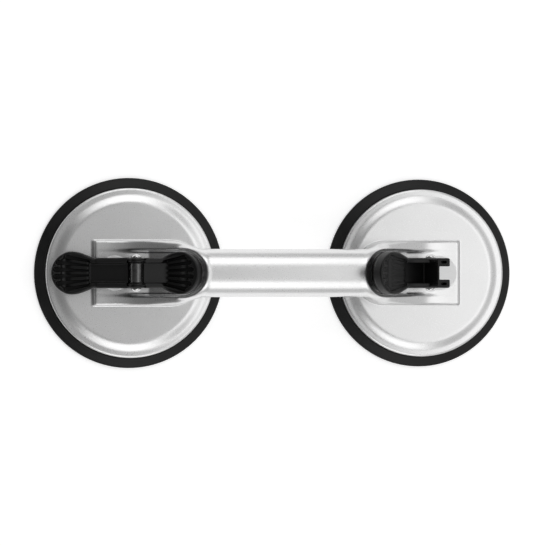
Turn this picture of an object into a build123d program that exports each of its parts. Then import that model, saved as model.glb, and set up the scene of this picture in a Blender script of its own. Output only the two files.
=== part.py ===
"""Two-cup suction lifter: cast body with a straight grip, two rubber discs, two pairs of cam levers."""
from build123d import *
import os
from math import cos, radians, sin

os.makedirs("parts", exist_ok=True)

# Overall layout: X along the grip, Z up, glass plane at Z 0
CUP_SPACING = 187.0
CUP_X = CUP_SPACING / 2

# Rubber disc
DISC_RADIUS = 60.0
DISC_EDGE = 2.4
DISC_TOP = 5.0
DISC_TOP_RADIUS = 54.2
DISC_WEB = 3.4
DISC_DISH = 0.5
DISC_FOOT_CHAMFER = 0.8
STROKE = 3.4

# Cup plate of the casting
RIM_RADIUS = 53.3
RIM_DROP = 1.8
LEDGE_RADIUS = 50.6
LEDGE_DROP = 1.55
PLATE_RADIUS = 44.5
PLATE_WALL = 2.6
CEILING_GAP = 0.6
CAVITY_RADIUS = 44.0
SEAT_RADIUS = 47.0

# Hub that rises from the plate to the grip
PEDESTAL_OUT = 24.4
PEDESTAL_RISE = 3.5
HUB_WIDTH = 40.6
HUB_DRAFT = 3.0
HUB_CORNER = 2.2
HUB_END_CENTRE = 26.0
HUB_TOP = 44.6
RAMP_START = -5.0
RAMP_MID = 22.0
RAMP_MID_TOP = 28.2
RAMP_END = 43.0
POCKET_RADIUS = 14.2
POCKET_CENTRE = 28.0
FLOOR_START = 11.0
FLOOR_END_TOP = 35.5
CORE_START = 11.0
CORE_START_TOP = 13.0
CORE_END_TOP = 27.0
CORE_HALF = 15.0
SHOULDER_ROUND = 3.5

# Grip bar
GRIP_WIDTH = 30.0
GRIP_HEIGHT = 22.0
GRIP_TOP = 46.0
GRIP_CORNER = 10.2

# White wear disc under the cam feet
WEAR_RADIUS = 10.8
WEAR_OUT = 10.6
WEAR_THICK = 2.0

# Puller: backing plate, stud, eye nut and pin
BACKING_RADIUS = 30.0
BACKING_THICK = 2.0
STUD_RADIUS = 3.0
THREAD_RADIUS = 2.5
THREAD_LENGTH = 8.0
STUD_FIT = 0.05
PIN_RELEASED = 35.6
BARREL_RADIUS = 4.0
BARREL_HALF = 6.1
NECK_RADIUS = 3.5
NECK_DROP = 11.0
PIN_RADIUS = 2.0
PIN_FIT = 0.05
PRESS_GAP = 0.02
HEAD_RADIUS = 3.1
HEAD_THICK = 2.3
HEAD_ROUND = 2.0
HEAD_GAP = 0.1

# Levers
LEVER_HALF = 9.35
CHANNEL_HALF = 6.25
LAP_GAP = 0.2
LAP_PLANE = 7.85
EAR_RADIUS = 5.2
EAR_CLEAR = 0.6
NECK_HALF = 8.9
PAD_RADIUS = 13.2
LEVER_FACE = 0.8
WALL_DROP = 6.2
PAD_DROP = 6.0
WEB_START = 4.8
RECESS_DEPTH = 2.6
RECESS_STOP = 10.4
WEB_THICK = 1.6
OUTER_LENGTH = 53.2
OUTER_SLOPE = 13.7
ARM_START = 2.0
OUTER_FOLD = 157.5
FOOT_START = 0.3
FOOT_END = 9.6
FOOT_GAP = 0.2
FOOT_INNER = 4.1
CROSS_WALL = 1.6
SLOT_START = 2.7
SLOT_END = 6.9
SLOT_WIDTH = 1.5
SLOT_DEPTH = 4.0
INNER_ARM = 19.0
INNER_PAD = 21.8
INNER_BEND = 39.0
INNER_ROCK = 4.4
INNER_FOOT_START = 1.9
INNER_FOOT_END = 8.0
INNER_FOOT_DROP = 16.4
GROOVE_DEPTH = 2.2
GROOVE_WIDE = 2.4
GROOVE_NARROW = 1.2
GROOVE_OUT = 11.4
GROOVE_IN = 9.0
GROOVE_COUNT = 6
GROOVE_PITCH_OUT = 4.0
GROOVE_PITCH_IN = 2.7

# Derived sizes
CEILING = DISC_WEB + STROKE + BACKING_THICK + CEILING_GAP
PLATE_TOP = CEILING + PLATE_WALL
PEDESTAL_TOP = PLATE_TOP + PEDESTAL_RISE
LEDGE_TOP = PLATE_TOP - LEDGE_DROP
RIM_TOP = PLATE_TOP - RIM_DROP
ARM_CENTRE = OUTER_LENGTH - PAD_RADIUS
GRIP_MID = GRIP_TOP - GRIP_HEIGHT / 2
WEAR_TOP = PEDESTAL_TOP + WEAR_THICK
PIN_HOLE = PIN_RADIUS + PIN_FIT
FOOT_DROP = PIN_RELEASED + STROKE - WEAR_TOP - FOOT_GAP
HEAD_FACE = LEVER_HALF + HEAD_GAP
WEB_BOTTOM = -RECESS_DEPTH - WEB_THICK


def disc_profile(lift):
    """Half section of a rubber disc whose centre is lifted by a given height."""
    with BuildLine() as line:
        Polyline(
            (0, lift + DISC_DISH),
            (BACKING_RADIUS + 2, lift + DISC_DISH),
            (SEAT_RADIUS, 0),
            (DISC_RADIUS - DISC_FOOT_CHAMFER, 0),
            (DISC_RADIUS, DISC_FOOT_CHAMFER),
            (DISC_RADIUS, DISC_EDGE),
            (DISC_TOP_RADIUS, DISC_TOP),
            (SEAT_RADIUS - 0.6, DISC_TOP),
            (BACKING_RADIUS + 2, lift + DISC_WEB),
            (0, lift + DISC_WEB),
            close=True,
        )
    return line.line


def plate_profile():
    """Half section of the dished cup plate."""
    with BuildLine() as line:
        Polyline(
            (0, CEILING),
            (CAVITY_RADIUS, CEILING),
            (SEAT_RADIUS, DISC_TOP),
            (RIM_RADIUS, DISC_TOP),
            (RIM_RADIUS, RIM_TOP),
            (LEDGE_RADIUS, LEDGE_TOP),
            (PLATE_RADIUS, PLATE_TOP),
            (0, PLATE_TOP),
            close=True,
        )
    return line.line


def tilt(out, drop):
    """Outer lever point given outward of and below the pin, turned into the frame of its arm."""
    turn = radians(OUTER_SLOPE)
    return (out * cos(turn) + drop * sin(turn), out * sin(turn) - drop * cos(turn))


def groove_fan():
    """Fan of tapered finger grooves, centred on a lever pad."""
    with BuildSketch() as fan:
        for index in range(GROOVE_COUNT):
            row = index - (GROOVE_COUNT - 1) / 2
            outer_y = row * GROOVE_PITCH_OUT
            inner_y = row * GROOVE_PITCH_IN
            outer_x = (GROOVE_OUT ** 2 - outer_y ** 2) ** 0.5 - 0.6
            with BuildLine():
                Polyline(
                    (-GROOVE_IN, inner_y - GROOVE_NARROW / 2),
                    (outer_x, outer_y - GROOVE_WIDE / 2),
                    (outer_x, outer_y + GROOVE_WIDE / 2),
                    (-GROOVE_IN, inner_y + GROOVE_NARROW / 2),
                    close=True,
                )
            make_face()
    return fan.sketch


# Cast body: two cup plates, two hubs and the grip in one casting
with BuildPart() as pocket:
    with BuildSketch(Plane.XY.offset(PLATE_TOP)):
        with Locations((CUP_X - POCKET_CENTRE, 0)):
            Circle(POCKET_RADIUS)
        with Locations((CUP_X - POCKET_CENTRE / 2 + 8, 0)):
            Rectangle(POCKET_CENTRE + 16, 2 * POCKET_RADIUS)
    extrude(amount=HUB_TOP)
    with BuildSketch(Plane.XZ):
        with BuildLine():
            Polyline(
                (CUP_X + 40, PEDESTAL_TOP),
                (CUP_X + 40, HUB_TOP + 20),
                (CUP_X - 60, HUB_TOP + 20),
                (CUP_X - POCKET_CENTRE - POCKET_RADIUS, FLOOR_END_TOP),
                (CUP_X - FLOOR_START, PEDESTAL_TOP),
                close=True,
            )
        make_face()
    extrude(amount=HUB_WIDTH, both=True, mode=Mode.INTERSECT)

with BuildPart() as ramp_cut:
    with BuildSketch(Plane.XZ):
        with BuildLine():
            Polyline(
                (CUP_X - RAMP_START, PEDESTAL_TOP),
                (CUP_X + 40, PEDESTAL_TOP),
                (CUP_X + 40, HUB_TOP + 20),
                (CUP_X - RAMP_END, HUB_TOP + 20),
                (CUP_X - RAMP_END, HUB_TOP),
            )
            ThreePointArc(
                (CUP_X - RAMP_END, HUB_TOP),
                (CUP_X - RAMP_MID, RAMP_MID_TOP),
                (CUP_X - RAMP_START, PEDESTAL_TOP),
            )
        make_face()
    extrude(amount=HUB_WIDTH, both=True)

with BuildPart() as hub:
    with BuildSketch(Plane.XY.offset(CEILING)) as hub_plan:
        with Locations((CUP_X + (PEDESTAL_OUT - HUB_END_CENTRE) / 2, 0)):
            Rectangle(PEDESTAL_OUT + HUB_END_CENTRE, HUB_WIDTH)
        with Locations((CUP_X - HUB_END_CENTRE, 0)):
            Circle(HUB_WIDTH / 2)
        outer_corners = hub_plan.vertices().group_by(Axis.X)[-1]
        fillet(outer_corners, radius=HUB_CORNER)
    extrude(amount=HUB_TOP - CEILING, taper=HUB_DRAFT)
    add(ramp_cut.part, mode=Mode.SUBTRACT)

with BuildPart() as casting:
    with BuildSketch(Plane.XZ):
        add(make_face(plate_profile().moved(Location((CUP_X, 0, 0))), mode=Mode.PRIVATE))
    revolve(axis=Axis((CUP_X, 0, 0), (0, 0, 1)))
    plate_edge = casting.edges().group_by(Axis.Z)[-1]
    fillet(plate_edge, radius=SHOULDER_ROUND)
    add(hub.part)
    with BuildSketch(Plane.YZ):
        with Locations((0, GRIP_MID)):
            RectangleRounded(GRIP_WIDTH, GRIP_HEIGHT, GRIP_CORNER)
    extrude(amount=CUP_X - RAMP_END - 1)
    add(pocket.part, mode=Mode.SUBTRACT)
    with BuildSketch(Plane.XZ):
        with BuildLine():
            Polyline(
                (CUP_X - CORE_START, CEILING),
                (CUP_X - CORE_START - 3, CORE_START_TOP),
                (CUP_X - HUB_END_CENTRE - 8, CORE_END_TOP),
                (CUP_X - HUB_END_CENTRE - 8, CEILING),
                close=True,
            )
        make_face()
    extrude(amount=CORE_HALF, both=True, mode=Mode.SUBTRACT)
    with Locations((CUP_X, 0, CEILING)):
        Cylinder(STUD_RADIUS + STUD_FIT, 30, mode=Mode.SUBTRACT)
    mirror(about=Plane.YZ)
casting.part.label = "body_casting"
export_step(casting.part, "parts/body_casting.step")

fan = groove_fan()

# Outer lever, in the frame of its arm: pin at the origin, arm along X, thumb face up
with BuildPart() as outer_arm:
    with BuildSketch(Plane.XY.offset(-WALL_DROP)):
        with Locations((ARM_CENTRE, 0)):
            Circle(PAD_RADIUS)
        with BuildLine():
            Polyline((ARM_START, -LEVER_HALF), (ARM_START, LEVER_HALF), (9, LEVER_HALF))
            Spline(
                (9, LEVER_HALF),
                (16, NECK_HALF),
                (ARM_CENTRE - 9, PAD_RADIUS * 0.75),
                (ARM_CENTRE, PAD_RADIUS),
                tangents=((1, 0), (1, 0)),
            )
            Polyline((ARM_CENTRE, PAD_RADIUS), (ARM_CENTRE, -PAD_RADIUS))
            Spline(
                (ARM_CENTRE, -PAD_RADIUS),
                (ARM_CENTRE - 9, -PAD_RADIUS * 0.75),
                (16, -NECK_HALF),
                (9, -LEVER_HALF),
                tangents=((-1, 0), (-1, 0)),
            )
            Line((9, -LEVER_HALF), (ARM_START, -LEVER_HALF))
        make_face()
    extrude(amount=WALL_DROP + LEVER_FACE)
    with BuildSketch(Plane.XZ):
        with BuildLine():
            Polyline(
                (0, LEVER_FACE),
                tilt(FOOT_START, FOOT_DROP),
                tilt(FOOT_END, FOOT_DROP),
                tilt(FOOT_END + 1.5, 14),
                (24, -WALL_DROP),
                (24, LEVER_FACE),
                close=True,
            )
        make_face()
        Circle(EAR_RADIUS)
    extrude(amount=LEVER_HALF, both=True)
    with BuildSketch(Plane.XZ):
        with BuildLine():
            Polyline(
                (-10, 10),
                (-10, -30),
                tilt(FOOT_START - 10, FOOT_DROP - 5.5),
                tilt(FOOT_END - CROSS_WALL, FOOT_DROP - 5.5),
                tilt(FOOT_END - CROSS_WALL, -WEB_BOTTOM + 2),
                (WEB_START, WEB_BOTTOM),
                (WEB_START, 10),
                close=True,
            )
        make_face()
    extrude(amount=CHANNEL_HALF, both=True, mode=Mode.SUBTRACT)
    with BuildSketch(Plane.XY.offset(-RECESS_DEPTH)):
        with Locations(((WEB_START + ARM_CENTRE - RECESS_STOP) / 2, 0)):
            Rectangle(ARM_CENTRE - RECESS_STOP - WEB_START + 1, 2 * CHANNEL_HALF)
    extrude(amount=10, mode=Mode.SUBTRACT)
    with BuildSketch(Plane.XZ):
        with BuildLine():
            Polyline(
                tilt(FOOT_END, FOOT_DROP + 5),
                tilt(FOOT_END, 4),
                (FOOT_END + 3, WEB_BOTTOM),
                (28, WEB_BOTTOM),
                (31, -WALL_DROP - 20),
                close=True,
            )
        make_face()
    extrude(amount=CHANNEL_HALF, both=True, mode=Mode.SUBTRACT)
    with BuildSketch(Plane.XZ):
        with BuildLine():
            Polyline(
                tilt(FOOT_START - 5, FOOT_DROP - 6),
                tilt(FOOT_START - 5, FOOT_DROP + 5),
                tilt(FOOT_END - CROSS_WALL, FOOT_DROP + 5),
                tilt(FOOT_END - CROSS_WALL, FOOT_DROP - 6),
                close=True,
            )
        make_face()
    extrude(amount=FOOT_INNER, both=True, mode=Mode.SUBTRACT)
    Cylinder(EAR_RADIUS + EAR_CLEAR, 2 * (LAP_PLANE + LAP_GAP / 2), rotation=(90, 0, 0), mode=Mode.SUBTRACT)
    Cylinder(PIN_HOLE, 30, rotation=(90, 0, 0), mode=Mode.SUBTRACT)
    extrude(Pos(ARM_CENTRE, 0, LEVER_FACE) * fan, amount=-GROOVE_DEPTH, mode=Mode.SUBTRACT)
    extrude(Pos(ARM_CENTRE, 0, -WALL_DROP) * fan, amount=GROOVE_DEPTH, mode=Mode.SUBTRACT)
    for side in (-1, 1):
        with BuildSketch(Plane.XZ.offset(side * (FOOT_INNER + LEVER_HALF) / 2)):
            with BuildLine():
                Polyline(
                    tilt(SLOT_START, FOOT_DROP),
                    tilt(SLOT_END, FOOT_DROP),
                    tilt(SLOT_END, FOOT_DROP - SLOT_DEPTH),
                    tilt(SLOT_START, FOOT_DROP - SLOT_DEPTH),
                    close=True,
                )
            make_face()
        extrude(amount=SLOT_WIDTH / 2, both=True, mode=Mode.SUBTRACT)

# Inner lever, in its own frame: pin at the origin, arm along X, thumb face up
bend = Plane(
    origin=(INNER_ARM, 0, LEVER_FACE),
    x_dir=(cos(radians(INNER_BEND)), 0, sin(radians(INNER_BEND))),
    z_dir=(-sin(radians(INNER_BEND)), 0, cos(radians(INNER_BEND))),
)
with BuildPart() as inner_arm:
    with BuildSketch(Plane.XZ):
        with BuildLine():
            Polyline(
                (0, LEVER_FACE),
                (INNER_FOOT_START, -INNER_FOOT_DROP),
                (INNER_FOOT_END, -INNER_FOOT_DROP),
                (INNER_FOOT_END + 1.5, -10),
                (INNER_ARM + 1.5, -PAD_DROP + LEVER_FACE),
                (INNER_ARM, LEVER_FACE),
                close=True,
            )
        make_face()
        Circle(EAR_RADIUS)
    extrude(amount=LEVER_HALF, both=True)
    with BuildSketch(bend):
        with Locations((INNER_PAD - PAD_RADIUS, 0)):
            Circle(PAD_RADIUS)
    extrude(amount=-PAD_DROP)
    with BuildSketch(Plane.XZ):
        with BuildLine():
            Polyline(
                (-10, 10),
                (-10, -30),
                (INNER_FOOT_END - CROSS_WALL, -30),
                (INNER_FOOT_END - CROSS_WALL, WEB_BOTTOM),
                (WEB_START, WEB_BOTTOM),
                (WEB_START, 10),
                close=True,
            )
        make_face()
    extrude(amount=CHANNEL_HALF, both=True, mode=Mode.SUBTRACT)
    with BuildSketch(Plane.XY.offset(-RECESS_DEPTH)):
        with Locations(((WEB_START + INNER_ARM) / 2, 0)):
            Rectangle(INNER_ARM - WEB_START, 2 * CHANNEL_HALF)
    extrude(amount=10, mode=Mode.SUBTRACT)
    with BuildSketch(Plane.XZ):
        with BuildLine():
            Polyline(
                (INNER_FOOT_END, -30),
                (INNER_FOOT_END, WEB_BOTTOM - 1),
                (INNER_FOOT_END + 1, WEB_BOTTOM),
                (INNER_ARM - 2, WEB_BOTTOM),
                (INNER_ARM + 1, -30),
                close=True,
            )
        make_face()
    extrude(amount=CHANNEL_HALF, both=True, mode=Mode.SUBTRACT)
    for side in (-1, 1):
        with Locations((0, side * (LAP_PLANE - LAP_GAP / 2 + 5), 0)):
            Cylinder(EAR_RADIUS + EAR_CLEAR, 10, rotation=(90, 0, 0), mode=Mode.SUBTRACT)
    Cylinder(PIN_HOLE, 30, rotation=(90, 0, 0), mode=Mode.SUBTRACT)
    extrude(bend.location * Pos(INNER_PAD - PAD_RADIUS, 0, 0) * fan, amount=-GROOVE_DEPTH, mode=Mode.SUBTRACT)
    extrude(
        bend.location * Pos(INNER_PAD - PAD_RADIUS, 0, -PAD_DROP) * fan,
        amount=GROOVE_DEPTH,
        mode=Mode.SUBTRACT,
    )

# Each cup: outward direction, lift of the puller, fold of the outer lever, dip of the inner lever
cups = (
    ("left", -1, STROKE, 0, INNER_ROCK),
    ("right", 1, 0, OUTER_FOLD, 0),
)
for side, out, lift, fold, dip in cups:
    centre = out * CUP_X
    pin_z = PIN_RELEASED + lift
    facing = Rot(0, 0, 90 - 90 * out)

    with BuildPart() as rubber_disc:
        with BuildSketch(Plane.XZ):
            add(make_face(disc_profile(lift), mode=Mode.PRIVATE))
        revolve(axis=Axis.Z)
    rubber_disc.part.position = (centre, 0, 0)
    rubber_disc.part.label = f"rubber_disc_{side}"
    export_step(rubber_disc.part, f"parts/rubber_disc_{side}.step")

    with BuildPart() as backing_plate:
        with Locations((centre, 0, lift + DISC_WEB)):
            Cylinder(BACKING_RADIUS, BACKING_THICK, align=(Align.CENTER, Align.CENTER, Align.MIN))
            Hole(STUD_RADIUS + PRESS_GAP, depth=30)
    backing_plate.part.label = f"backing_plate_{side}"
    export_step(backing_plate.part, f"parts/backing_plate_{side}.step")

    with BuildPart() as stud:
        with BuildSketch(Plane.XY.offset(lift + DISC_WEB)):
            with Locations((centre, 0)):
                Circle(STUD_RADIUS)
        extrude(amount=pin_z - NECK_DROP - lift - DISC_WEB)
        with BuildSketch(Plane.XY.offset(pin_z - NECK_DROP)):
            with Locations((centre, 0)):
                Circle(THREAD_RADIUS)
        extrude(amount=THREAD_LENGTH)
    stud.part.label = f"stud_{side}"
    export_step(stud.part, f"parts/stud_{side}.step")

    with BuildPart() as eye_nut:
        with Locations((centre, 0, pin_z)):
            Cylinder(BARREL_RADIUS, 2 * BARREL_HALF, rotation=(90, 0, 0))
        with BuildSketch(Plane.XY.offset(pin_z - NECK_DROP)):
            with Locations((centre, 0)):
                Circle(NECK_RADIUS)
        extrude(amount=NECK_DROP)
        with BuildSketch(Plane.XY.offset(pin_z - NECK_DROP)):
            with Locations((centre, 0)):
                Circle(THREAD_RADIUS + PRESS_GAP)
        extrude(amount=THREAD_LENGTH + PRESS_GAP, mode=Mode.SUBTRACT)
        with Locations((centre, 0, pin_z)):
            Cylinder(PIN_RADIUS + PRESS_GAP, 30, rotation=(90, 0, 0), mode=Mode.SUBTRACT)
    eye_nut.part.label = f"eye_nut_{side}"
    export_step(eye_nut.part, f"parts/eye_nut_{side}.step")

    with BuildPart() as hinge_pin:
        with BuildSketch(Plane.XZ.offset(HEAD_FACE)):
            Circle(HEAD_RADIUS)
        extrude(amount=HEAD_THICK)
        fillet(hinge_pin.edges().group_by(Axis.Y)[0], radius=HEAD_ROUND)
        with BuildSketch(Plane.XZ.offset(HEAD_FACE)):
            Circle(PIN_RADIUS)
        extrude(amount=-2 * HEAD_FACE)
    hinge_pin.part.position = (centre, 0, pin_z)
    hinge_pin.part.label = f"hinge_pin_{side}"
    export_step(hinge_pin.part, f"parts/hinge_pin_{side}.step")

    with BuildPart() as pin_cap:
        with BuildSketch(Plane.XZ.offset(-HEAD_FACE)):
            Circle(HEAD_RADIUS)
        extrude(amount=-HEAD_THICK)
        fillet(pin_cap.edges().group_by(Axis.Y)[-1], radius=HEAD_ROUND)
    pin_cap.part.position = (centre, 0, pin_z)
    pin_cap.part.label = f"pin_cap_{side}"
    export_step(pin_cap.part, f"parts/pin_cap_{side}.step")

    with BuildPart() as wear_disc:
        with BuildSketch(Plane.XY.offset(PEDESTAL_TOP)):
            with Locations((centre + out * WEAR_OUT, 0)):
                Circle(WEAR_RADIUS)
            with Locations((centre, 0)):
                Circle(NECK_RADIUS + EAR_CLEAR, mode=Mode.SUBTRACT)
        extrude(amount=WEAR_THICK)
    wear_disc.part.label = f"wear_disc_{side}"
    export_step(wear_disc.part, f"parts/wear_disc_{side}.step")

    with BuildPart() as outer_lever:
        add(Pos(centre, 0, pin_z) * facing * Rot(0, OUTER_SLOPE - fold, 0) * outer_arm.part)
    outer_lever.part.label = f"outer_lever_{side}"
    export_step(outer_lever.part, f"parts/outer_lever_{side}.step")

    with BuildPart() as inner_lever:
        add(Pos(centre, 0, pin_z) * Rot(0, 0, 90 + 90 * out) * Rot(0, dip, 0) * inner_arm.part)
    inner_lever.part.label = f"inner_lever_{side}"
    export_step(inner_lever.part, f"parts/inner_lever_{side}.step")
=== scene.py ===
"""Two-cup suction lifter: the look of each piece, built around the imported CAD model."""

from math import cos, hypot, pi, radians, sin

import bpy
import numpy as np
from mathutils import Matrix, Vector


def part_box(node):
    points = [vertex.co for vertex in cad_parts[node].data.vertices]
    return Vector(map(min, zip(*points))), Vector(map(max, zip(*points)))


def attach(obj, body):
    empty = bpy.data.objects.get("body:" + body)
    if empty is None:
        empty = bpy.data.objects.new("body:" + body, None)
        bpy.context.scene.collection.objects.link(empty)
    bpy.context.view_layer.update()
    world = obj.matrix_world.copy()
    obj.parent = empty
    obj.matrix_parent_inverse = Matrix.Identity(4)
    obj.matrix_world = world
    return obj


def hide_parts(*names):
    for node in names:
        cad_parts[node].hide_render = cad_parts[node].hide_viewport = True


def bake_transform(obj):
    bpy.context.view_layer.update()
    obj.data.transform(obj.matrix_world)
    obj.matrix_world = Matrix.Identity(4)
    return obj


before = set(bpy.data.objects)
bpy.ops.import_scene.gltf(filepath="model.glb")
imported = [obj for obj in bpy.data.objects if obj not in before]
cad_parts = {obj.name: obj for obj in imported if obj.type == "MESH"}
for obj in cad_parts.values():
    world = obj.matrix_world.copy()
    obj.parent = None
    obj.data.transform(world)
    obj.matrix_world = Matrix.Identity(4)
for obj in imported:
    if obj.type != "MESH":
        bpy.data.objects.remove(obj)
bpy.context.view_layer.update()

MM = 0.001


def node_corners(node):
    """Lowest and highest corners of a CAD node's box, in millimetres."""
    return [np.array(corner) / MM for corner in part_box(node)]


def node_middle(node):
    """Middle of a CAD node's box, in millimetres."""
    low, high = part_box(node)
    return (np.array(low) + np.array(high)) / 2 / MM


# Driving sizes, in millimetres, read from the frame where it holds them
CAST_LOW, CAST_HIGH = node_corners("body_casting")
DISC_LOW, DISC_HIGH = node_corners("rubber_disc_right")
CUP_X = (DISC_LOW[0] + DISC_HIGH[0]) / 2
RIM_RADIUS = CAST_HIGH[1]
DISC_TOP = CAST_LOW[2]
GRIP_TOP = CAST_HIGH[2]

# ---------------------------------------------------------------- distance fields
def smooth_min(a, b, k):
    """Union of two fields with a fillet of about k."""
    h = np.maximum(k - np.abs(a - b), 0) / k
    return np.minimum(a, b) - h * h * k / 4


def smooth_max(a, b, k):
    """Intersection of two fields with a rounded edge of about k."""
    return -smooth_min(-a, -b, k)


def step_between(low, high, value):
    """Smooth ramp from 0 at low to 1 at high."""
    t = np.clip((value - low) / (high - low), 0, 1)
    return t * t * (3 - 2 * t)


def box_field(a, b, centre, half, corner):
    """Rounded rectangle in two dimensions."""
    da = np.abs(a - centre[0]) - half[0] + corner
    db = np.abs(b - centre[1]) - half[1] + corner
    outside = np.hypot(np.maximum(da, 0), np.maximum(db, 0))
    return outside + np.minimum(np.maximum(da, db), 0) - corner


def polygon_field(a, b, points):
    """Signed distance to a closed polygon in two dimensions."""
    best = np.full(np.broadcast(a, b).shape, 1e9)
    inside = np.zeros(best.shape, bool)
    for (ax, ay), (bx, by) in zip(points, points[1:] + points[:1]):
        ex, ey = bx - ax, by - ay
        px, py = a - ax, b - ay
        t = np.clip((px * ex + py * ey) / (ex * ex + ey * ey), 0, 1)
        best = np.minimum(best, np.hypot(px - ex * t, py - ey * t))
        if ey != 0:
            crosses = ((ay > b) != (by > b)) & (px < ex * py / ey)
            inside ^= crosses
    return np.where(inside, -best, best)


def taper_field(a, b, start, end, width_start, width_end):
    """Distance to a tapered, round-ended bar in two dimensions."""
    ex, ey = end[0] - start[0], end[1] - start[1]
    px, py = a - start[0], b - start[1]
    t = np.clip((px * ex + py * ey) / (ex * ex + ey * ey), 0, 1)
    return np.hypot(px - ex * t, py - ey * t) - (width_start + (width_end - width_start) * t) / 2


EDGES = [
    ((0, 0, 0), (1, 0, 0)), ((0, 1, 0), (1, 1, 0)), ((0, 0, 1), (1, 0, 1)), ((0, 1, 1), (1, 1, 1)),
    ((0, 0, 0), (0, 1, 0)), ((1, 0, 0), (1, 1, 0)), ((0, 0, 1), (0, 1, 1)), ((1, 0, 1), (1, 1, 1)),
    ((0, 0, 0), (0, 0, 1)), ((1, 0, 0), (1, 0, 1)), ((0, 1, 0), (0, 1, 1)), ((1, 1, 0), (1, 1, 1)),
]


def field_mesh(field, low, high, step):
    """Points, in millimetres, and quads of a field's zero surface, found by surface nets."""
    axes = [np.arange(a, b + step, step) for a, b in zip(low, high)]
    grid = field(*np.meshgrid(*axes, indexing="ij", sparse=True))
    size = [n - 1 for n in grid.shape]

    def corner(offset):
        return grid[tuple(slice(o, o + n) for o, n in zip(offset, size))]

    signs = sum((corner(o) < 0).astype(np.int8) for o in np.ndindex(2, 2, 2))
    cells = np.argwhere((signs > 0) & (signs < 8))
    index = np.full(size, -1, np.int64)
    index[tuple(cells.T)] = np.arange(len(cells))
    total = np.zeros((len(cells), 3))
    count = np.zeros(len(cells))
    for start, end in EDGES:
        a = corner(start)[tuple(cells.T)]
        b = corner(end)[tuple(cells.T)]
        cut = (a < 0) != (b < 0)
        t = np.where(cut, a / np.where(cut, a - b, 1), 0)
        point = np.array(start) + t[:, None] * (np.array(end) - np.array(start))
        total += np.where(cut[:, None], point, 0)
        count += cut
    points = (cells + total / count[:, None]) * step + np.array([a[0] for a in axes])

    quads = []
    for axis in range(3):
        u, v = (axis + 1) % 3, (axis + 2) % 3
        a = grid[tuple(slice(0, -1) if k == axis else slice(1, -1) for k in range(3))] < 0
        b = grid[tuple(slice(1, None) if k == axis else slice(1, -1) for k in range(3))] < 0
        for flip, where in ((False, a & ~b), (True, ~a & b)):
            base = np.argwhere(where)
            base[:, u] += 1
            base[:, v] += 1
            ring = []
            for du, dv in ((-1, -1), (0, -1), (0, 0), (-1, 0)):
                at = base.copy()
                at[:, u] += du
                at[:, v] += dv
                ring.append(index[tuple(at.T)])
            quad = np.stack(ring, 1)
            quads.append(quad[:, ::-1] if flip else quad)
    points = settle(field, points, step)
    return points, np.concatenate(quads)


def settle(field, points, step):
    """Moves points onto the field's zero surface along its slope."""
    tiny = step * 0.05
    most = step * 0.6
    for _ in range(2):
        value = field(*points.T)
        slope = np.stack([
            (field(*(points + shift).T) - field(*(points - shift).T)) / (2 * tiny)
            for shift in np.eye(3) * tiny
        ], 1)
        length = np.maximum((slope * slope).sum(1), 0.2)
        move = -(value / length)[:, None] * slope
        points = points + np.clip(move, -most, most)
    return points


# ---------------------------------------------------------------- objects
def new_object(name, points, faces, place=None):
    """Smooth-shaded mesh object from points in millimetres, put in place by a matrix."""
    mesh = bpy.data.meshes.new(name)
    mesh.from_pydata((np.asarray(points) * MM).tolist(), [], [list(map(int, face)) for face in faces])
    mesh.update()
    mesh.polygons.foreach_set("use_smooth", [True] * len(mesh.polygons))
    thing = bpy.data.objects.new(name, mesh)
    bpy.context.collection.objects.link(thing)
    if place is not None:
        mesh.transform(place)
    return thing


def field_object(name, field, low, high, step, place=None):
    """Object with the surface of a distance field, meshed in cells of the given step."""
    points, quads = field_mesh(field, low, high, step)
    return new_object(name, points, quads, place)


def finish_piece(thing, body, material, replaced=()):
    """Gives a piece its material, ties it to its body and hides the CAD nodes it replaces."""
    thing.data.materials.clear()
    thing.data.materials.append(material)
    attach(thing, body)
    if replaced:
        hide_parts(*replaced)
    return thing


# ---------------------------------------------------------------- cast body
CAST_CELL = 0.62
PLATE_TOP = 12.0
PLATE_FILLET = 0.6
CEILING = 9.4
CAVITY_RADIUS = 45.4
STUD_HOLE = 3.3
STEP_START = 43.4
STEP_END = 50.6
STEP_DROP = 1.55
LEDGE_SLOPE = 0.08
PEDESTAL_TOP = 15.5
PEDESTAL_SLOPE = 0.022
PEDESTAL_END = 24.3
PEDESTAL_DRAFT = 0.35
HUB_HALF = 20.3
HUB_DRAFT = 0.02
HUB_BOTTOM = CEILING + 0.5
HUB_END_CENTRE = 25.0
HUB_TOP = 44.8
HUB_EDGE = 1.3
HUB_EDGE_GAIN = 3.7
HUB_EDGE_SPAN = (6, 30)
RAMP_START = -6.0
RAMP_END = 43.6
RAMP_FOOT = 2.5
POCKET_RADIUS = 14.2
POCKET_CENTRE = 28.0
FLOOR_START = 11.0
FLOOR_END_TOP = 35.5
FLOOR_RAISE = 0.25
FLOOR_FILLET = 2.0
POCKET_EDGE = 1.4
GRIP_HALF = (15.0, 11.0)
GRIP_SQUARENESS = 2.1
GRIP_SCALE = 12.0  # turns the grip's ratio field into about millimetres
GRIP_CUT = 15.4
GRIP_FILLET = 3.0


def ramp_height(s):
    """Height of the hub's top edge, s millimetres from the cup's centre towards the grip."""
    t = np.minimum((s - RAMP_START) / (RAMP_END - RAMP_START), 1)
    seat = PEDESTAL_TOP + PEDESTAL_SLOPE * np.minimum(s, 0)
    ramp = PEDESTAL_TOP + (HUB_TOP - PEDESTAL_TOP) * (0.5 * t + 0.5 * t * t)
    return smooth_max(seat, ramp, RAMP_FOOT)


def plate_top(r):
    """Height of the dished cup plate: flat middle, soft step down, then a nearly flat ledge."""
    step = STEP_DROP * step_between(STEP_START, STEP_END, r)
    return PLATE_TOP - step - LEDGE_SLOPE * np.maximum(r - STEP_END, 0)


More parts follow.
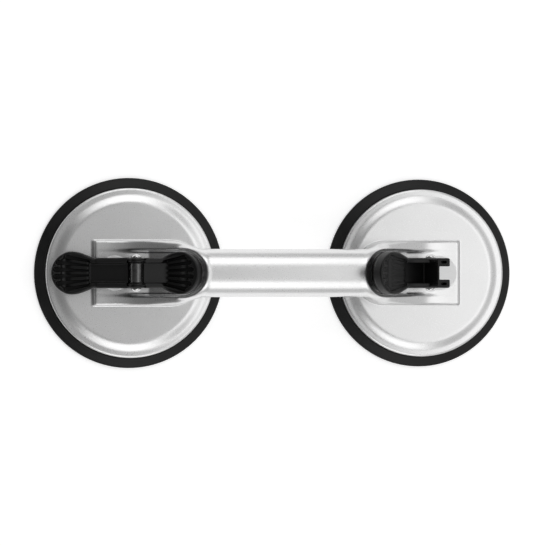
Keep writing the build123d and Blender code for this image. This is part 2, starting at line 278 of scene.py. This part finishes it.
def plate_field(r, z):
    """Cup plate with its thin outer rim."""
    slope = plate_top(r + 0.5) - plate_top(r - 0.5)
    top = (z - plate_top(r)) / np.sqrt(1 + slope * slope)
    return smooth_max(smooth_max(top, r - RIM_RADIUS, 1.0), DISC_TOP - z, 0.5)


def casting_field(x, y, z):
    """The cast body: two plates, two hubs and the grip. Both halves are alike."""
    s = CUP_X - np.abs(x)
    y = np.abs(y)
    r = np.hypot(s, y)

    side = np.where(s < HUB_END_CENTRE, y - HUB_HALF, np.hypot(s - HUB_END_CENTRE, y) - HUB_HALF)
    side = side + (z - PLATE_TOP) * HUB_DRAFT
    end = (-s - PEDESTAL_END + (z - PLATE_TOP) * PEDESTAL_DRAFT) / hypot(1, PEDESTAL_DRAFT)
    top = ramp_height(s)
    slope = ramp_height(s + 0.5) - ramp_height(s - 0.5)
    roof = (z - top) / np.sqrt(1 + slope * slope)
    edge = HUB_EDGE + HUB_EDGE_GAIN * step_between(*HUB_EDGE_SPAN, s)
    hub = smooth_max(smooth_max(side, end, 0.9), roof, edge)
    hub = smooth_max(hub, HUB_BOTTOM - z, 0.2)
    body = smooth_min(plate_field(r, z), hub, PLATE_FILLET)

    across = np.abs(y / GRIP_HALF[0]) ** GRIP_SQUARENESS
    upright = np.abs((z - GRIP_TOP + GRIP_HALF[1]) / GRIP_HALF[1]) ** GRIP_SQUARENESS
    bar = ((across + upright) ** (1 / GRIP_SQUARENESS) - 1) * GRIP_SCALE
    past = s - POCKET_CENTRE
    cut = GRIP_CUT - np.where(past > 0, np.hypot(past, y), y + past)
    bar = smooth_max(bar, cut, 1.2)
    body = smooth_min(body, bar, GRIP_FILLET)

    pocket_plan = np.where(s < POCKET_CENTRE, y, np.hypot(s - POCKET_CENTRE, y)) - POCKET_RADIUS
    rise = (FLOOR_END_TOP - PEDESTAL_TOP) / (POCKET_CENTRE + POCKET_RADIUS - FLOOR_START)
    floor = PEDESTAL_TOP + FLOOR_RAISE + np.maximum(s - FLOOR_START, 0) * rise
    pocket = smooth_max(pocket_plan, (floor - z) / hypot(1, rise), FLOOR_FILLET)
    body = smooth_max(body, -pocket, POCKET_EDGE)

    cavity = smooth_max(r - CAVITY_RADIUS, z - CEILING, 1.5)
    body = smooth_max(body, -cavity, 0.8)
    return smooth_max(body, STUD_HOLE - r, 0.4)


# ---------------------------------------------------------------- cam levers
LEVER_CELL = 0.3
LEVER_HALF = 9.35
WALL = 3.1
NECK_HALF = 8.9
NECK_FLARE = 0.45
NECK_FLARE_SPAN = (6, 13)
PAD_RADIUS = 13.2
PAD_FILLET = 6.0
FACE = 0.8
DEPTH = 6.2
WEB_TOP = -2.6
WEB_BOTTOM = -4.2
WEB_START = 4.8
RECESS_EDGE = 0.7
RECESS_STOP = 10.4
INNER_RECESS_STOP = 9.2
EAR_RADIUS = 5.2
EAR_CLEAR = 5.8
LAP = (7.75, 7.95)
PIN_HOLE = 2.05
OUTER_LENGTH = 53.2
OUTER_SLOPE = radians(13.7)
OUTER_FOLD = 157.5
FOOT_START = 0.3
FOOT_END = 9.6
FOOT_DROP = 21.3
TOE_HALF_GAP = 4.1
TOE_HEIGHT = 5.5
CROSS_WALL = 1.6
SLOT_CENTRE = (4.8, 6.75)
SLOT_HALF = (2.1, 0.8)
SLOT_DEPTH = 4
INNER_ARM = 19.0
INNER_PAD = 21.8
INNER_BEND = radians(39.0)
INNER_TAPER = 0.2
INNER_TAPER_SPAN = (6, 14)
INNER_FOOT_START = 1.9
INNER_FOOT_END = 8.0
INNER_FOOT_DROP = 16.4
INNER_ROCK = 4.4
GROOVES = (  # inner end, outer end (both along the pad and across it), from the pad's centre
    ((-9.4, 1.5), (10.3, 2.2)),
    ((-9.4, 4.6), (8.6, 6.5)),
    ((-10.4, 7.4), (3.8, 9.9)),
)
GROOVE_WIDTHS = (1.2, 2.6)
GROOVE_FLOOR = -2.8
BACK_GROOVE_FLOOR = -0.9
INNER_GROOVE_SHIFT = 0.4
INNER_GROOVE_SCALE = 1.12
FIN_TOP = -0.3
FIN_DIP = 1.5
FIN_DIP_CENTRE = 4.4
FIN_DIP_WIDTH = 2.3
FIN_END_SPAN = (6.2, 8.2)
SCOOP_RIM = 2.6
SCOOP_LENGTH = 10.6
PAD_EDGE = 1.1


def pad_cut(u, y, v, outline, floor):
    """What a thumb pad loses on one face: fan grooves, and a scoop that lowers the fins between them."""
    grooves = None
    for start, end in GROOVES:
        bar = taper_field(u, y, start, end, *GROOVE_WIDTHS)
        grooves = bar if grooves is None else np.minimum(grooves, bar)
    grooves = smooth_max(grooves, floor - v, 0.5)
    crest = FIN_TOP - FIN_DIP * np.exp(-((u - FIN_DIP_CENTRE) / FIN_DIP_WIDTH) ** 2)
    crest = crest + (FACE + 1.2 - crest) * step_between(*FIN_END_SPAN, u)
    scoop = smooth_max(smooth_max(crest - v, outline + SCOOP_RIM, 1.2), -u - SCOOP_LENGTH, 0.6)
    return np.minimum(grooves, scoop)


def ears_field(arm, radius, y, keep_outer):
    """Thins the side walls round the pin so that the two levers lap, and drills the pin hole."""
    if keep_outer:
        lap = smooth_max(radius - EAR_CLEAR, y - LAP[1], 0.3)
    else:
        lap = smooth_max(radius - EAR_CLEAR, LAP[0] - y, 0.3)
    return smooth_max(smooth_max(arm, -lap, 0.3), PIN_HOLE - radius, 0.2)


def outer_lever_field(x, y, z):
    """Outer cam lever in the frame of its arm: pin at the origin, arm along +X, thumb face up."""
    y = np.abs(y)
    out = x * cos(OUTER_SLOPE) + z * sin(OUTER_SLOPE)
    drop = x * sin(OUTER_SLOPE) - z * cos(OUTER_SLOPE)
    centre = OUTER_LENGTH - PAD_RADIUS
    neck_half = NECK_HALF + NECK_FLARE * (1 - step_between(*NECK_FLARE_SPAN, x))
    neck = smooth_max(y - neck_half, x - centre, 2)
    lobe = np.hypot(x - centre, y) - PAD_RADIUS
    outline = smooth_min(neck, lobe, PAD_FILLET)
    slab = np.abs(z - (FACE - DEPTH) / 2) - (FACE + DEPTH) / 2
    arm = smooth_max(smooth_max(outline, slab, 1.5), 2.0 - x, 1.0)

    side = polygon_field(out, drop, [
        (FOOT_START, -0.6), (FOOT_START, FOOT_DROP), (FOOT_END, FOOT_DROP),
        (FOOT_END + 1.2, 14.0), (24.6, 11.6), (24.0, 5.0),
    ])
    side = smooth_min(side, np.hypot(x, z) - EAR_RADIUS, 1.0)
    walls = smooth_max(side, y - LEVER_HALF, 1.2)
    arm = smooth_min(arm, walls, 1.0)

    hollow = smooth_max(y - (LEVER_HALF - WALL), out - (FOOT_END - CROSS_WALL), 0.8)
    toes = smooth_max(y - TOE_HALF_GAP, out - (FOOT_END - CROSS_WALL), 0.8)
    toe_start = FOOT_DROP - TOE_HEIGHT
    hollow = np.where(drop < toe_start, smooth_max(hollow, drop - toe_start, 0.3), toes)
    hollow = smooth_max(hollow, np.minimum(x - WEB_START, z - WEB_BOTTOM), 0.5)
    inset = outline + WALL
    front = smooth_max(smooth_max(inset, WEB_TOP - z, 1.0), x - centre + RECESS_STOP, 1.0)
    behind = smooth_max(y - (LEVER_HALF - WALL), z - WEB_BOTTOM, 0.8)
    behind = smooth_max(behind, (FOOT_END - out), 0.8)
    behind = smooth_max(behind, x - centre + RECESS_STOP, 1.0)
    for recess in (hollow, front, behind):
        arm = smooth_max(arm, -recess, RECESS_EDGE)

    u = x - centre
    arm = smooth_max(arm, -pad_cut(u, y, z, outline, GROOVE_FLOOR), PAD_EDGE)
    arm = smooth_max(arm, -pad_cut(u, y, -(z + DEPTH) + FACE, outline, BACK_GROOVE_FLOOR), PAD_EDGE)
    slots = box_field(out, y, SLOT_CENTRE, SLOT_HALF, 0.4)
    slots = smooth_max(slots, FOOT_DROP - SLOT_DEPTH - drop, 0.2)
    arm = smooth_max(arm, -slots, 0.3)
    return ears_field(arm, np.hypot(x, z), y, True)


def inner_lever_field(x, y, z):
    """Inner cam lever: pin at the origin, arm along +X, pad bent up, thumb face up."""
    y = np.abs(y)
    along = (x - INNER_ARM) * cos(INNER_BEND) + (z - FACE) * sin(INNER_BEND)
    above = (z - FACE) * cos(INNER_BEND) - (x - INNER_ARM) * sin(INNER_BEND) + FACE
    centre = INNER_PAD - PAD_RADIUS
    neck = smooth_max(y - NECK_HALF, along - centre, 2)
    lobe = np.hypot(along - centre, y) - PAD_RADIUS
    outline = smooth_min(neck, lobe, PAD_FILLET)
    slab = np.abs(above - (FACE - DEPTH) / 2) - (FACE + DEPTH) / 2
    pad = smooth_max(outline, slab, 1.5)
    pad = smooth_max(pad, -3.0 - along, 1.0)

    side = polygon_field(x, z, [
        (0.0, FACE), (INNER_FOOT_START, -INNER_FOOT_DROP), (INNER_FOOT_END, -INNER_FOOT_DROP),
        (INNER_FOOT_END + 1.5, -10.0), (INNER_ARM + 3.2, -DEPTH + 1.4), (INNER_ARM + 1.0, FACE + 0.8),
        (INNER_ARM - 2.0, FACE),
    ])
    side = smooth_min(side, np.hypot(x, z) - EAR_RADIUS, 1.0)
    half = LEVER_HALF - INNER_TAPER * step_between(*INNER_TAPER_SPAN, x)
    arm = smooth_max(side, y - half, 1.2)
    arm = smooth_min(arm, pad, 1.4)

    hollow = smooth_max(y - (LEVER_HALF - WALL), x - (INNER_FOOT_END - CROSS_WALL), 0.8)
    hollow = smooth_max(hollow, np.minimum(x - WEB_START, z - WEB_BOTTOM), 0.5)
    inset = np.minimum(outline + WALL, smooth_max(y - (LEVER_HALF - WALL), x - INNER_ARM, 0.8))
    web = np.minimum(z, above)
    front = smooth_max(smooth_max(inset, WEB_TOP - web, 1.0), along - centre + INNER_RECESS_STOP, 1.0)
    behind = smooth_max(y - (LEVER_HALF - WALL), z - WEB_BOTTOM, 0.8)
    behind = smooth_max(behind, np.maximum(INNER_FOOT_END - x, x - INNER_ARM + 1.0), 0.8)
    for recess in (hollow, front, behind):
        arm = smooth_max(arm, -recess, RECESS_EDGE)

    u = (along - centre + INNER_GROOVE_SHIFT) * INNER_GROOVE_SCALE
    arm = smooth_max(arm, -pad_cut(u, y, above, outline, GROOVE_FLOOR), PAD_EDGE)
    arm = smooth_max(arm, -pad_cut(u, y, -(above + DEPTH) + FACE, outline, BACK_GROOVE_FLOOR), PAD_EDGE)
    return ears_field(arm, np.hypot(x, z), y, False)


# ---------------------------------------------------------------- turned pieces
def arc_points(centre, radius, start, end, count=8):
    """Points of an arc, in degrees, in a profile plane."""
    return [
        (centre[0] + radius * cos(radians(start + (end - start) * i / count)),
         centre[1] + radius * sin(radians(start + (end - start) * i / count)))
        for i in range(count + 1)
    ]


def lathe(name, profile, place, segments=128):
    """Turns a profile of (radius, height) points, from axis to axis, about Z."""
    ring = np.linspace(0, 2 * pi, segments, endpoint=False)
    points, rows = [], []
    for radius, height in profile:
        if radius < 1e-6:
            rows.append([len(points)] * segments)
            points.append((0, 0, height))
        else:
            rows.append(list(range(len(points), len(points) + segments)))
            points.extend((radius * cos(a), radius * sin(a), height) for a in ring)
    faces = []
    for lower, upper in zip(rows, rows[1:]):
        for i in range(segments):
            j = (i + 1) % segments
            face = [lower[i], lower[j], upper[j], upper[i]]
            faces.append(list(dict.fromkeys(face)))
    return new_object(name, points, faces, place)


# ---------------------------------------------------------------- materials
def fill_ramp(ramp, stops):
    """Sets a colour ramp's stops, each a position with a colour or a grey."""
    def paint(element, tone):
        element.color = (*tone, 1) if isinstance(tone, tuple) else (tone, tone, tone, 1)

    first, last = ramp.elements
    for element, (position, tone) in ((first, stops[0]), (last, stops[-1])):
        element.position = position
        paint(element, tone)
    for position, tone in stops[1:-1]:
        paint(ramp.elements.new(position), tone)


class Look:
    """A node material with a Principled shader, built up step by step."""

    def __init__(self, name, color, roughness, metallic=0.0, **more):
        self.material = bpy.data.materials.new(name)
        self.material.use_nodes = True
        self.nodes = self.material.node_tree.nodes
        self.links = self.material.node_tree.links
        self.shader = self.nodes["Principled BSDF"]
        self.shader.inputs["Base Color"].default_value = (*color, 1)
        self.shader.inputs["Roughness"].default_value = roughness
        self.shader.inputs["Metallic"].default_value = metallic
        for socket, value in more.items():
            self.shader.inputs[socket.replace("_", " ")].default_value = value
        self.where = self.nodes.new("ShaderNodeTexCoord").outputs["Object"]
        self.normal = None

    def noise(self, scale, detail=4.0, rough=0.55, stretch=None):
        """Noise with a scale in features per metre, stretched along an axis if asked."""
        source = self.where
        if stretch:
            mapping = self.nodes.new("ShaderNodeMapping")
            mapping.inputs["Scale"].default_value = stretch
            self.links.new(source, mapping.inputs["Vector"])
            source = mapping.outputs["Vector"]
        node = self.nodes.new("ShaderNodeTexNoise")
        node.inputs["Scale"].default_value = scale
        node.inputs["Detail"].default_value = detail
        node.inputs["Roughness"].default_value = rough
        self.links.new(source, node.inputs["Vector"])
        return node.outputs["Fac"]

    def ramp(self, value, stops):
        """Colour ramp over a value; stops are (position, colour or grey)."""
        node = self.nodes.new("ShaderNodeValToRGB")
        fill_ramp(node.color_ramp, stops)
        self.links.new(value, node.inputs["Fac"])
        return node.outputs["Color"]

    def color(self, output):
        self.links.new(output, self.shader.inputs["Base Color"])
        return self

    def roughness(self, output):
        self.links.new(output, self.shader.inputs["Roughness"])
        return self

    def bump(self, height, strength, distance):
        """Adds relief; distance is in metres."""
        node = self.nodes.new("ShaderNodeBump")
        node.inputs["Strength"].default_value = strength
        node.inputs["Distance"].default_value = distance
        self.links.new(height, node.inputs["Height"])
        if self.normal is not None:
            self.links.new(self.normal, node.inputs["Normal"])
        self.normal = node.outputs["Normal"]
        self.links.new(self.normal, self.shader.inputs["Normal"])
        return self


def cast_aluminium():
    look = Look("cast_aluminium", (0.80, 0.80, 0.81), 0.3, metallic=1.0)
    cloud = look.noise(38, 3.0)
    grain = look.noise(1500, 3.0, 0.65)
    look.color(look.ramp(cloud, [(0.3, 0.775), (0.7, 0.80)]))
    look.roughness(look.ramp(grain, [(0.3, 0.26), (0.7, 0.34)]))
    look.bump(grain, 0.16, 0.00006)
    return look.material


def black_rubber():
    look = Look("black_rubber", (0.009, 0.009, 0.009), 0.5, Specular_IOR_Level=0.3)
    cloud = look.noise(60, 4.0)
    grain = look.noise(2600, 2.0)
    look.color(look.ramp(cloud, [(0.35, 0.006), (0.7, 0.012)]))
    look.roughness(look.ramp(cloud, [(0.3, 0.4), (0.7, 0.52)]))
    look.bump(grain, 0.25, 0.00008)
    return look.material


def black_plastic():
    look = Look("black_plastic", (0.003, 0.003, 0.003), 0.4, Specular_IOR_Level=0.36)
    cloud = look.noise(90, 3.0)
    grain = look.noise(3200, 2.0, 0.6)
    look.color(look.ramp(cloud, [(0.3, 0.0012), (0.75, 0.0024)]))
    look.roughness(look.ramp(grain, [(0.3, 0.34), (0.7, 0.48)]))
    look.bump(grain, 0.3, 0.00007)
    return look.material


def white_plastic():
    look = Look("white_plastic", (0.86, 0.86, 0.85), 0.28)
    cloud = look.noise(150, 3.0)
    look.color(look.ramp(cloud, [(0.3, 0.96), (0.7, 0.99)]))
    look.roughness(look.ramp(cloud, [(0.3, 0.24), (0.7, 0.34)]))
    look.bump(look.noise(900, 3.0), 0.08, 0.0001)
    return look.material


def zinc_steel():
    look = Look("zinc_steel", (0.56, 0.57, 0.58), 0.38, metallic=1.0)
    cloud = look.noise(120, 4.0)
    look.color(look.ramp(cloud, [(0.3, (0.50, 0.51, 0.53)), (0.7, (0.62, 0.63, 0.64))]))
    look.roughness(look.ramp(cloud, [(0.3, 0.3), (0.7, 0.46)]))
    look.bump(look.noise(1500, 3.0), 0.1, 0.0001)
    return look.material


def bright_steel():
    look = Look("bright_steel", (0.72, 0.73, 0.75), 0.12, metallic=1.0)
    scuff = look.noise(700, 3.0, 0.6, stretch=(1, 0.15, 1))
    look.roughness(look.ramp(scuff, [(0.3, 0.08), (0.7, 0.2)]))
    look.color(look.ramp(scuff, [(0.3, 0.68), (0.7, 0.76)]))
    look.bump(scuff, 0.05, 0.00008)
    return look.material


def dark_steel():
    look = Look("dark_steel", (0.12, 0.12, 0.125), 0.3, metallic=1.0)
    cloud = look.noise(400, 3.0)
    look.color(look.ramp(cloud, [(0.3, 0.1), (0.7, 0.15)]))
    look.roughness(look.ramp(cloud, [(0.3, 0.24), (0.7, 0.36)]))
    look.bump(look.noise(1800, 3.0), 0.1, 0.00006)
    return look.material


DARK_STEEL = dark_steel()
ALUMINIUM = cast_aluminium()
RUBBER = black_rubber()
PLASTIC = black_plastic()
WHITE = white_plastic()
ZINC = zinc_steel()
STEEL = bright_steel()


# ---------------------------------------------------------------- pieces
STROKE = 3.4
SMALL_CELL = 0.22
SMALL_MARGIN = 0.6
DISH = 0.5
RING_INNER = 46.9
WEB_OUTER = 46.8
WEB_THICK = 3.4
WEAR_NOTCH = 4.1
PIN_SEAT = 9.45
PIN_RADIUS = 2.0
DOME_RIM = 0.45
EYE_BORE = 2.02
STUD_BORE = 2.52
STUD_BORE_TOP = -3.2
EYE_NECK_RADIUS = 3.5
EYE_NECK_HALF = 5.5


def make_casting():
    """The cast body, meshed in a box a little larger than its CAD node."""
    low = (CAST_LOW[0] - 1.2, CAST_LOW[1] - 1.2, CAST_LOW[2] - 1.2)
    high = (CAST_HIGH[0] + 1.2, CAST_HIGH[1] + 1.2, CAST_HIGH[2] + 1.6)
    body = field_object("cast_body", casting_field, low, high, CAST_CELL)
    finish_piece(body, "frame", ALUMINIUM, ["body_casting"])


def make_rubber(side, out, lift):
    """The rubber disc as its clamped outer ring and the web that the puller draws up."""
    centre = Matrix.Translation((out * CUP_X * MM, 0, 0))
    outer = DISC_HIGH[0] - CUP_X
    profile = [(RING_INNER, 0.0), (outer - 1.4, 0.0)]
    profile += arc_points((outer - 0.7, 0.7), 0.7, -90, 0, 4)
    profile += arc_points((outer - 0.9, 1.7), 0.9, 0, 60, 5)
    profile += [(57.6, 3.45), (55.4, 4.3)] + arc_points((54.2, 4.4), 0.6, 70, 110, 3)
    profile += [(53.0, DISC_TOP), (RING_INNER, DISC_TOP), (RING_INNER, 0.0)]
    ring = lathe(f"rubber_ring_{side}", profile, centre, 192)
    finish_piece(ring, "frame", RUBBER, [f"rubber_disc_{side}"])

    dish = lift + DISH
    web = [(0.0, dish), (30.0, dish), (33.0, dish * 0.94), (40.0, dish * 0.47), (45.0, dish * 0.08)]
    web += [(WEB_OUTER, 0.0), (WEB_OUTER, DISC_TOP), (44.0, DISC_TOP)]
    web += [(34.0, lift + WEB_THICK + 0.2), (31.8, lift + WEB_THICK), (0.0, lift + WEB_THICK)]
    disc = lathe(f"rubber_web_{side}", web, centre, 192)
    disc.data.materials.append(RUBBER)
    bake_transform(disc)
    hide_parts(f"rubber_disc_{side}")


def make_wear_disc(side, out):
    """White disc under the cam feet, with a notch round the stud."""
    low, high = node_corners(f"wear_disc_{side}")
    radius = (high[1] - low[1]) / 2
    centre = (high[0] - radius) if out > 0 else (low[0] + radius)
    middle = (0, (low[2] + high[2]) / 2)
    half = (radius, (high[2] - low[2]) / 2)

    def field(x, y, z):
        plate = box_field(np.hypot(x - centre, y), z, middle, half, 0.5)
        return smooth_max(plate, WEAR_NOTCH - np.hypot(x - out * CUP_X, y), 0.4)

    disc = field_object(f"wear_pad_{side}", field, low - SMALL_MARGIN, high + SMALL_MARGIN, SMALL_CELL)
    finish_piece(disc, "frame", WHITE, [f"wear_disc_{side}"])


def make_pin(side):
    """Hinge pin with its domed head, and the domed cap riveted on its other end."""
    low, high = node_corners(f"hinge_pin_{side}")
    middle = (low + high) / 2
    head = (high[0] - low[0]) / 2
    inner = -PIN_SEAT
    outer = low[1]
    thick = inner - outer
    along_y = Matrix.Translation((middle[0] * MM, 0, middle[2] * MM)) @ Matrix.Rotation(radians(-90), 4, "X")
    dome = [(0.0, outer)] + [
        (head * sin(a), inner - DOME_RIM - (thick - DOME_RIM) * cos(a)) for a in np.linspace(0.12, pi / 2, 12)
    ]
    shaft = dome + [(head, inner - 0.12), (head - 0.15, inner), (PIN_RADIUS, inner)]
    shaft += [(PIN_RADIUS, -inner - 0.15), (0.0, -inner - 0.15)]
    pin = lathe(f"pin_{side}", shaft, along_y, 96)
    finish_piece(pin, f"puller_{side}", STEEL, [f"hinge_pin_{side}"])
    cap = [(0.0, -inner), (head - 0.15, -inner), (head, -inner + 0.12)] + [(r, -h) for r, h in reversed(dome)]
    rivet = lathe(f"pin_head_{side}", cap, along_y, 96)
    finish_piece(rivet, f"puller_{side}", STEEL, [f"pin_cap_{side}"])


def make_eye_nut(side, out):
    """Cross barrel that the pin runs through, with a neck that screws onto the stud."""
    low, high = node_corners(f"eye_nut_{side}")
    radius = (high[0] - low[0]) / 2
    pin_z = high[2] - radius

    def field(x, y, z):
        x = x - out * CUP_X
        z = z - pin_z
        barrel = box_field(np.hypot(x, z), y, (0, 0), (radius, high[1]), 0.5)
        neck = smooth_max(np.hypot(x, y) - EYE_NECK_RADIUS, np.abs(z + EYE_NECK_HALF) - EYE_NECK_HALF, 0.5)
        nut = smooth_min(barrel, neck, 1.0)
        nut = smooth_max(nut, EYE_BORE - np.hypot(x, z), 0.2)
        bore = smooth_max(np.hypot(x, y) - STUD_BORE, z - STUD_BORE_TOP, 0.2)
        return smooth_max(nut, -bore, 0.2)

    nut = field_object(f"eye_{side}", field, low - SMALL_MARGIN, high + SMALL_MARGIN, SMALL_CELL)
    finish_piece(nut, f"puller_{side}", DARK_STEEL, [f"eye_nut_{side}"])


def make_levers(side, out, fold, dip):
    """The cup's two levers on its pin; fold and dip are in degrees from the locked position."""
    pin = node_middle(f"hinge_pin_{side}")
    at = Matrix.Translation((pin[0] * MM, 0, pin[2] * MM))

    def place(heading, pitch):
        return at @ Matrix.Rotation(radians(heading), 4, "Z") @ Matrix.Rotation(pitch, 4, "Y")

    outer = field_object(
        f"cam_lever_outer_{side}", outer_lever_field, (-6.5, -14, -24), (54.5, 14, 6.5), LEVER_CELL,
        place(90 - 90 * out, OUTER_SLOPE - radians(fold)),
    )
    inner = field_object(
        f"cam_lever_inner_{side}", inner_lever_field, (-6.5, -14, -18), (44, 14, 20), LEVER_CELL,
        place(90 + 90 * out, radians(dip)),
    )
    finish_piece(outer, f"outer_lever_{side}", PLASTIC, [f"outer_lever_{side}"])
    finish_piece(inner, f"inner_lever_{side}", PLASTIC, [f"inner_lever_{side}"])


def repaint(node, material):
    """Gives a CAD node that stays in view a better material."""
    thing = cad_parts[node]
    thing.data.materials.clear()
    thing.data.materials.append(material)


CUPS = (  # name, side along X, puller's lift, outer lever's fold, inner lever's dip
    ("left", -1, STROKE, 0.0, INNER_ROCK),
    ("right", 1, 0.0, OUTER_FOLD, 0.0),
)

make_casting()
for side, out, lift, fold, dip in CUPS:
    make_rubber(side, out, lift)
    make_wear_disc(side, out)
    make_pin(side)
    make_eye_nut(side, out)
    make_levers(side, out, fold, dip)
    repaint(f"backing_plate_{side}", ZINC)
    repaint(f"stud_{side}", ZINC)


# ---------------------------------------------------------------- stage, light and camera
FLOOR_HALF = 9000


def make_floor():
    """Pale floor just under the cups, with a little light of its own so that it stays plain white."""
    corners = [(x * FLOOR_HALF, y * FLOOR_HALF, 0) for x, y in ((-1, -1), (1, -1), (1, 1), (-1, 1))]
    floor = new_object("floor", corners, [(0, 1, 2, 3)])
    floor.location.z = -0.0002
    look = Look("pale_floor", (0.8, 0.8, 0.8), 0.9)
    look.color(look.ramp(look.noise(3, 2.0), [(0.3, 0.79), (0.7, 0.81)]))
    look.shader.inputs["Emission Color"].default_value = (1, 1, 1, 1)
    look.shader.inputs["Emission Strength"].default_value = 0.56
    floor.data.materials.append(look.material)


def add_panel(name, place, turn, size, power):
    """Soft rectangular light; place and size in metres, turn in degrees about X, Y and Z, power in watts."""
    data = bpy.data.lights.new(name, "AREA")
    data.shape = "RECTANGLE"
    data.size, data.size_y = size
    data.energy = power
    panel = bpy.data.objects.new(name, data)
    panel.location = place
    panel.rotation_euler = [radians(angle) for angle in turn]
    bpy.context.collection.objects.link(panel)


def add_world(stops):
    """Soft surround whose brightness changes from the locked cup's side to the released cup's side."""
    world = bpy.data.worlds.new("studio")
    world.use_nodes = True
    nodes, links = world.node_tree.nodes, world.node_tree.links
    split = nodes.new("ShaderNodeSeparateXYZ")
    shift = nodes.new("ShaderNodeMapRange")
    shift.inputs["From Min"].default_value = -1
    shift.inputs["From Max"].default_value = 1
    ramp = nodes.new("ShaderNodeValToRGB")
    fill_ramp(ramp.color_ramp, [((side + 1) / 2, grey) for side, grey in stops])
    links.new(nodes.new("ShaderNodeTexCoord").outputs["Generated"], split.inputs["Vector"])
    links.new(split.outputs["X"], shift.inputs["Value"])
    links.new(shift.outputs["Result"], ramp.inputs["Fac"])
    links.new(ramp.outputs["Color"], nodes["Background"].inputs["Color"])
    bpy.context.scene.world = world


def add_camera():
    """Camera seen from above, leaning a little towards the locked cup."""
    distance = 1.8
    lean = radians(9.72)
    aim_x = -0.00112
    data = bpy.data.cameras.new("camera")
    data.sensor_width = 36
    data.lens = 186.32
    data.clip_end = 30
    camera = bpy.data.objects.new("camera", data)
    camera.location = (aim_x - distance * sin(lean), 0, distance * cos(lean))
    camera.rotation_euler = (0, -lean, 0)
    bpy.context.collection.objects.link(camera)
    bpy.context.scene.camera = camera


make_floor()
add_world([(-1.0, 0.10), (-0.1, 0.26), (0.12, 0.34), (1.0, 0.60)])
add_panel("overhead_right", (0.92, 0.0, 1.8), (0, 20, 0), (1.2, 1.5), 5.0)
add_panel("side_back", (0.0, 1.15, 1.25), (-43, 0, 0), (1.1, 1.0), 4.6)
add_panel("side_front", (0.0, -1.15, 1.25), (43, 0, 0), (1.1, 1.0), 4.6)
for name, side in (("low_front", -1), ("low_back", 1)):
    add_panel(name, (0.0, side * 1.6, 0.45), (side * -74, 0, 0), (0.8, 0.75), 0.55)
add_camera()
bpy.context.scene.view_settings.view_transform = "Standard"
